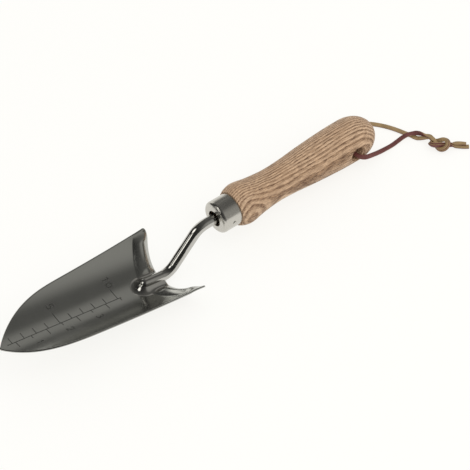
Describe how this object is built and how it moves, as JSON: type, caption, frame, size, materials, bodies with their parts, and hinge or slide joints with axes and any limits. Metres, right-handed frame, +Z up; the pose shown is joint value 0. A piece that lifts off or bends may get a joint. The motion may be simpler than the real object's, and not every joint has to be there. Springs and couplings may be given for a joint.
{
  "type": "hand trowel",
  "caption": "Hand trowel: pressed steel blade with a rolled rear bead, cranked round neck, steel ferrule, turned ash handle and a knotted leather hanging lace.",
  "frame": {"origin": "on the surface the trowel lies on, under the middle of its length (the lace left out) and on its middle plane", "axes": "+X from the blade's tip to the handle's butt, +Z up, out of the blade's trough, +Y across the blade; the trowel lies on its back with the blade's heel and the handle's butt on the surface"},
  "size_m": [0.3887, 0.0952, 0.043],
  "materials": {
    "blade_steel": "polished stainless steel with a soft directional sheen",
    "neck_steel": "polished round steel bar",
    "ferrule_steel": "satin drawn steel",
    "ash_wood": "turned ash, waxed, dull",
    "lace_leather": "flat leather lace, one face red-brown and the other tan"
  },
  "bodies": {
    "root": {"blade": "blade_steel", "neck_bar": "neck_steel", "neck_weld": "neck_steel", "ferrule": "ferrule_steel", "ferrule_pin": "ferrule_steel", "handle": "ash_wood", "lace_loop": "lace_leather", "lace_knot": "lace_leather", "lace_tails": "lace_leather"}
  },
  "joints": []
}
